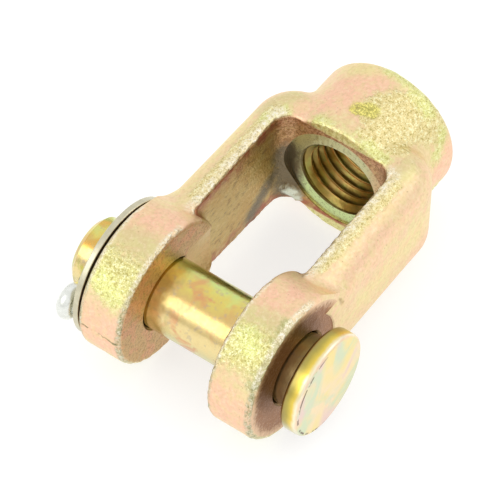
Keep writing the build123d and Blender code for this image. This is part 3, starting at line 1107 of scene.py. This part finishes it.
@dataclass
class TappedThread:
    """The thread inside the hub, cut right-handed along the rod's axis. Sizes in millimetres."""

    sizes: YokeSizes = YokeSizes()
    root_radius: float = 7.94
    pitch: float = 2.0
    crest_width: float = 0.45
    root_width: float = 0.3
    round_off: float = 0.05
    shell_radius: float = 8.35
    end_margin: float = 0.3
    weld_distance: float = 0.004
    sharp_angle: float = 35.0
    steps_per_turn: int = 72

    def profile(self) -> list[tuple[float, float]]:
        """Give one pitch of the thread's section.

        Returns:
            Places along the axis and their radii, from crest to crest.
        """
        flank = (self.pitch - self.crest_width - self.root_width) / 2
        crest = self.sizes.thread_crest
        return [
            (0.0, crest + self.round_off),
            (0.1, crest),
            (self.crest_width - 0.1, crest),
            (self.crest_width, crest + self.round_off),
            (self.crest_width + flank, self.root_radius),
            (self.crest_width + flank + self.root_width, self.root_radius),
            (self.pitch, crest + self.round_off),
        ]

    def build(self) -> bpy.types.Object:
        """Turn the section into a helix, trim it to the hub and close it behind.

        Returns:
            The thread's object.
        """
        slot_face, hub_face = self.sizes.seat_ring, self.sizes.hub_end
        bm = bmesh.new()
        start = slot_face - self.pitch
        corners = [bm.verts.new(((start + x) * MM, 0, r * MM)) for x, r in self.profile()]
        section = [bm.edges.new(pair) for pair in zip(corners, corners[1:])]
        turns = math.ceil((hub_face - slot_face) / self.pitch) + 2
        steps = turns * self.steps_per_turn
        bmesh.ops.spin(
            bm, geom=corners + section, cent=(0, 0, 0), axis=(1, 0, 0), angle=math.tau * turns, steps=steps,
            dvec=(self.pitch * MM / self.steps_per_turn, 0, 0), use_merge=False, use_duplicate=False,
        )
        bmesh.ops.remove_doubles(bm, verts=bm.verts, dist=self.weld_distance * MM)
        for place, outward in ((slot_face + self.end_margin, -1), (hub_face - self.end_margin, 1)):
            bmesh.ops.bisect_plane(
                bm, geom=bm.verts[:] + bm.edges[:] + bm.faces[:], dist=1e-7,
                plane_co=(place * MM, 0, 0), plane_no=(outward, 0, 0), clear_outer=True,
            )
        for corner in bm.verts:
            x, y, z = corner.co / MM
            cone = self.sizes.thread_mouth + 0.02 - min(x - slot_face, hub_face - x)
            radius = math.hypot(y, z)
            if radius < cone:
                corner.co.y *= cone / radius
                corner.co.z *= cone / radius
        rims = [edge for edge in bm.edges if edge.is_boundary]
        outer = bmesh.ops.extrude_edge_only(bm, edges=rims)["geom"]
        for corner in [item for item in outer if isinstance(item, bmesh.types.BMVert)]:
            radius = math.hypot(corner.co.y, corner.co.z)
            corner.co.y *= self.shell_radius * MM / radius
            corner.co.z *= self.shell_radius * MM / radius
        bmesh.ops.bridge_loops(bm, edges=[edge for edge in bm.edges if edge.is_boundary])
        bmesh.ops.recalc_face_normals(bm, faces=bm.faces)
        for face in bm.faces:
            face.smooth = True
        for edge in bm.edges:
            edge.smooth = edge.is_manifold and edge.calc_face_angle(0.0) < math.radians(self.sharp_angle)
        return show("hub_thread", bm)

    def make(self, effects: Effects) -> bpy.types.Object:
        """Build the thread, dress it and let it ride with the yoke.

        Args:
            effects: The shared groups.

        Returns:
            The thread's object.
        """
        piece = self.build()
        dress(piece, ThreadFinish().material(effects, self.sizes))
        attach(piece, YOKE_BODY)
        return piece


class CastRelief:
    """How far the cast skin stands off the true form at a point. Heights and depths in millimetres."""

    rolling_height = 0.10
    grain_height = 0.07
    knock_height = 0.16
    knock_depth = 0.05
    crater_ripple = 0.15
    crater_knobs = 0.30
    crater_depth = 0.15
    lump_height = 0.55
    lump_knobs = 0.45
    scar_depth = 0.20
    scar_knobs = 0.10
    seam_depth = 0.22

    def __init__(self, sizes: YokeSizes, finish: CastingFinish) -> None:
        """Keep what the relief follows.

        Args:
            sizes: The yoke's sizes.
            finish: The finish, whose marks say where the skin is rough.
        """
        self.sizes = sizes
        self.finish = finish
        self.grit = [mark for tint in finish.grit for mark in tint.marks]

    def gritty(self, place: Vector) -> float:
        """Say how gritty the skin is at a point, from nought to one."""
        mirrored = Vector((place.x, place.y, abs(place.z)))
        return max(mark.share(mirrored) for mark in self.grit)

    def dented(self, place: Vector) -> float:
        """Say how near a point is to a knocked edge: an ear's inner rim or an arm's inner top edge.

        Args:
            place: The point, in millimetres.

        Returns:
            One on the edge, nought a little way off it.
        """
        sizes = self.sizes
        side = abs(place.y)
        rise = math.hypot(place.x, place.z) - sizes.ear_radius + 0.3
        rim = math.hypot(rise, side - sizes.ear_inner_face - 0.3)
        rim += 3.0 * smooth_step((place.x - 4.5) / 1.5)
        top = sizes.arm_half_height + sizes.arm_rise * place.x - abs(place.z)
        edge = math.hypot(side - sizes.arm_inner_face - 0.3, top - 0.3)
        if not 10.0 < place.x < 38.0:
            edge = rim
        return smooth_step((0.9 - min(rim, edge)) / 0.6)

    def free(self, place: Vector) -> float:
        """Say how far a point is from the faced surfaces, which stay true.

        Args:
            place: The point, in millimetres.

        Returns:
            Nought on such a surface, one clear of it.
        """
        sizes = self.sizes
        off = [sizes.hub_end - place.x]
        if math.hypot(place.y, place.z) < sizes.seat_ring_radius + 0.3:
            off.append(abs(place.x - sizes.seat_ring))
        if math.hypot(place.x, place.z) < sizes.ear_radius:
            off.append(abs(abs(place.y) - sizes.ear_face))
        return smooth_step((min(off) - 0.05) / 0.3)

    def detailed(self, place: Vector) -> bool:
        """Say whether a point needs a fine mesh.

        Args:
            place: The point, in millimetres.

        Returns:
            Whether the skin is rough there.
        """
        finish = self.finish
        marks = (finish.crater, finish.lump, finish.scar, finish.seam)
        rough = max(mark.share(place) for mark in marks)
        return max(rough, self.gritty(place), self.dented(place)) > 0.05

    def height(self, place: Vector) -> float:
        """Work out the relief at a point.

        Args:
            place: The point, in millimetres.

        Returns:
            How far the skin stands out there, in millimetres.
        """
        finish = self.finish
        rolling = noise.noise(place * 0.9)
        grains = self.rolling_height * rolling + self.grain_height * noise.noise(place * 1.7)
        total = grains * self.gritty(place)
        knocks = self.knock_height * noise.noise(place * 1.15 + Vector((5.0, 2.0, 7.0))) - self.knock_depth
        total += self.dented(place) * knocks
        ripple = math.cos(3.0 * (place - Vector(finish.crater.start)).length)
        knobs = self.crater_knobs * noise.noise(place * 1.3)
        total += finish.crater.share(place) * (self.crater_ripple * ripple + knobs - self.crater_depth)
        total += finish.lump.share(place) * (self.lump_height + self.lump_knobs * rolling)
        total -= finish.scar.share(place) * (self.scar_depth + self.scar_knobs * rolling)
        broken = smooth_step(noise.noise(place * 0.6 + Vector((3.0, 1.0, 0.0))) * 3.0 + 0.7)
        return self.free(place) * (total - self.seam_depth * finish.seam.share(place) * broken)


@dataclass
class Yoke:
    """The one-piece casting: the true form with its rough places raised on it. Sizes in millimetres."""

    sizes: YokeSizes = YokeSizes()
    finish: CastingFinish = CastingFinish()
    fine_edge: float = 0.6
    plain_edge: float = 2.4
    weld_distance: float = 0.0002
    sliver_width: float = 0.0005
    rounds: int = 40
    sharp_angle: float = 28.0

    def clean(self, bm: bmesh.types.BMesh) -> None:
        """Take out faces with no area and keep the rest triangles."""
        bmesh.ops.dissolve_degenerate(bm, edges=bm.edges, dist=self.sliver_width * MM)
        bmesh.ops.triangulate(bm, faces=[face for face in bm.faces if len(face.verts) > 3])

    def refine(self, bm: bmesh.types.BMesh, relief_map: CastRelief) -> None:
        """Halve the long edges in the rough places, longest first and never two of one face at once.

        Args:
            bm: The mesh, in metres.
            relief_map: Where the skin is rough.
        """
        settled = bm.edges.layers.int.new("settled")
        for _ in range(self.rounds):
            open_edges = [(index, edge) for index, edge in enumerate(bm.edges) if not edge[settled]]
            lengths = [(edge.calc_length(), index, edge) for index, edge in open_edges]
            chosen = []
            taken: set[bmesh.types.BMFace] = set()
            for length, _, edge in sorted(lengths, reverse=True):
                if length <= self.fine_edge * MM:
                    break
                if any(face in taken for face in edge.link_faces):
                    continue
                first, last = [vert.co / MM for vert in edge.verts]
                places = (first.lerp(last, share) for share in (0.5, 0.05, 0.95))
                if length <= self.plain_edge * MM and not any(map(relief_map.detailed, places)):
                    edge[settled] = 1
                    continue
                taken.update(edge.link_faces)
                chosen.append(edge)
            if not chosen:
                break
            bmesh.ops.subdivide_edges(bm, edges=chosen, cuts=1, use_single_edge=True)
        bm.edges.layers.int.remove(settled)

    def build(self) -> bpy.types.Object:
        """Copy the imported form, refine it and raise its rough places.

        Returns:
            The yoke's object.
        """
        relief_map = CastRelief(self.sizes, self.finish)
        bm = bmesh.new()
        bm.from_mesh(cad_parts["clevis_yoke"].data)
        bmesh.ops.remove_doubles(bm, verts=bm.verts, dist=self.weld_distance * MM)
        self.clean(bm)
        for edge in bm.edges:
            edge.smooth = edge.calc_face_angle(0.0) < math.radians(self.sharp_angle)
        self.refine(bm, relief_map)
        self.clean(bm)
        bm.normal_update()
        moves = [vert.normal * relief_map.height(vert.co / MM) * MM for vert in bm.verts]
        for vert, move in zip(bm.verts, moves):
            vert.co += move
        for face in bm.faces:
            face.smooth = True
        return show("cast_yoke", bm)

    def make(self, effects: Effects) -> bpy.types.Object:
        """Build the yoke, dress it and put it in the place of its plain form.

        Args:
            effects: The shared groups.

        Returns:
            The yoke's object.
        """
        piece = self.build()
        dress(piece, self.finish.material(effects, self.sizes))
        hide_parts("clevis_yoke")
        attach(piece, YOKE_BODY)
        return piece


@dataclass
class CadPiece:
    """A piece that keeps its packed form: the pin, the washer or the split pin."""

    node: str
    slot: Slot
    finish: Union[PinFinish, ClearZincFinish]

    def make(self, effects: Effects) -> bpy.types.Object:
        """Dress the piece.

        Args:
            effects: The shared groups.

        Returns:
            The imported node.
        """
        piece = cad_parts[self.node]
        dress(piece, self.finish.material(effects))
        return piece


@dataclass(frozen=True)
class Softbox:
    """A square area light that faces the part. Lengths in metres."""

    name: str
    towards: Triple
    size: float
    radiance: float
    tint: Triple
    distance: float = 0.7
    aim_point: Triple = (0.02, 0.0, 0.0)

    def hang(self) -> None:
        """Put the light in the scene."""
        light = bpy.data.lights.new(self.name, "AREA")
        light.shape = "SQUARE"
        light.size = self.size
        light.energy = self.radiance * math.pi * self.size * self.size
        light.color = self.tint
        lamp = bpy.data.objects.new(self.name, light)
        aim = Vector(self.towards).normalized()
        turn = aim.to_track_quat("Z", "Y").to_matrix().to_4x4()
        lamp.matrix_world = Matrix.Translation(Vector(self.aim_point) + aim * self.distance) @ turn
        bpy.context.scene.collection.objects.link(lamp)


@dataclass
class Studio:
    """The floor, the light and the camera. Lengths in metres unless they say otherwise."""

    floor_height: float = CAD_BOX[0].z - 0.0001
    floor_size: float = 3.0
    floor_colour: Colour = (0.45, 0.45, 0.45, 1.0)
    floor_roughness: float = 0.9
    floor_glow: float = 0.65
    white: Colour = (1.0, 1.0, 1.0, 1.0)
    wall_colour: Colour = (0.72, 0.72, 0.70, 1.0)
    wall_fades: tuple[float, float] = (0.06, 0.22)
    lights: tuple[Softbox, ...] = (
        Softbox("key_left", (-0.726, 0.355, 0.588), 0.40, 1.45, (1.0, 0.99, 0.95)),
        Softbox("key_right", (0.56, -0.48, 0.68), 0.34, 0.8, (1.0, 1.0, 0.97)),
    )
    focal_px: float = 3483.2
    frame_px: float = 500.0
    sensor_mm: float = 36.0
    clip: tuple[float, float] = (0.01, 10.0)
    eye: Triple = (-0.3022, -0.2190, 0.4907)
    right: Triple = (0.5832039, -0.8122559, 0.01065657)
    down: Triple = (-0.63294671, -0.46260353, -0.62078696)
    forward: Triple = (0.50916764, 0.35530033, -0.78390688)

    def floor(self) -> None:
        """Lay a pale matt floor, lit a little from below like a light table."""
        bm = bmesh.new()
        bmesh.ops.create_grid(bm, x_segments=1, y_segments=1, size=self.floor_size / 2)
        bmesh.ops.translate(bm, verts=bm.verts, vec=(0, 0, self.floor_height))
        floor = show("floor", bm)
        material = bpy.data.materials.new("pale_floor")
        material.use_nodes = True
        shader = material.node_tree.nodes["Principled BSDF"]
        shader.inputs["Base Color"].default_value = self.floor_colour
        shader.inputs["Roughness"].default_value = self.floor_roughness
        shader.inputs["Specular IOR Level"].default_value = 0.0
        shader.inputs["Emission Color"].default_value = self.white
        shader.inputs["Emission Strength"].default_value = self.floor_glow
        floor.data.materials.append(material)

    def world(self) -> None:
        """Fill the room with even pale light, a little darker at floor level."""
        world = bpy.data.worlds.new("studio")
        world.use_nodes = True
        graph = Graph(world.node_tree)
        background = world.node_tree.nodes["Background"]
        direction = graph.node("ShaderNodeTexCoord", {}).outputs["Generated"]
        parts = graph.node("ShaderNodeSeparateXYZ", {0: direction})
        above = graph.ramp(parts.outputs[2], *self.wall_fades)
        graph.feed(background.inputs["Color"], graph.blend(self.wall_colour, self.white, above))
        background.inputs["Strength"].default_value = 1.0
        bpy.context.scene.world = world

    def camera(self) -> None:
        """Set the camera up with its measured place and focal length."""
        lens = bpy.data.cameras.new("camera")
        lens.sensor_fit = "HORIZONTAL"
        lens.sensor_width = self.sensor_mm
        lens.lens = self.focal_px * self.sensor_mm / self.frame_px
        lens.clip_start, lens.clip_end = self.clip
        camera = bpy.data.objects.new("camera", lens)
        axes = (Vector(self.right), -Vector(self.down), -Vector(self.forward))
        turn = Matrix([[axis[row] for axis in axes] for row in range(3)]).to_4x4()
        camera.matrix_world = Matrix.Translation(self.eye) @ turn
        bpy.context.scene.collection.objects.link(camera)
        bpy.context.scene.camera = camera

    def build(self) -> None:
        """Set up the whole studio."""
        self.floor()
        self.world()
        for light in self.lights:
            light.hang()
        self.camera()
        settings = bpy.context.scene.view_settings
        settings.view_transform = "Standard"
        settings.look = "None"


def main() -> None:
    """Build every piece in order and report it."""
    logging.basicConfig(level=logging.INFO, format="%(message)s")
    effects = Effects()
    flat_zinc = ClearZincFinish("clear_zinc_flat")
    wire_zinc = ClearZincFinish("clear_zinc_half_round", shade(236, 238, 232), shade(206, 208, 200), 0.28)
    makers = (
        Yoke(),
        TappedThread(),
        CadPiece("clevis_pin", Slot.PIN, PinFinish()),
        CadPiece("washer", Slot.WASHER, flat_zinc),
        CadPiece("split_pin", Slot.WIRE, wire_zinc),
    )
    for maker in makers:
        piece = maker.make(effects)
        LOG.info("%s: %d faces", piece.name, len(piece.data.polygons))
    Studio().build()
    LOG.info("studio ready")


if __name__ == "__main__":
    main()
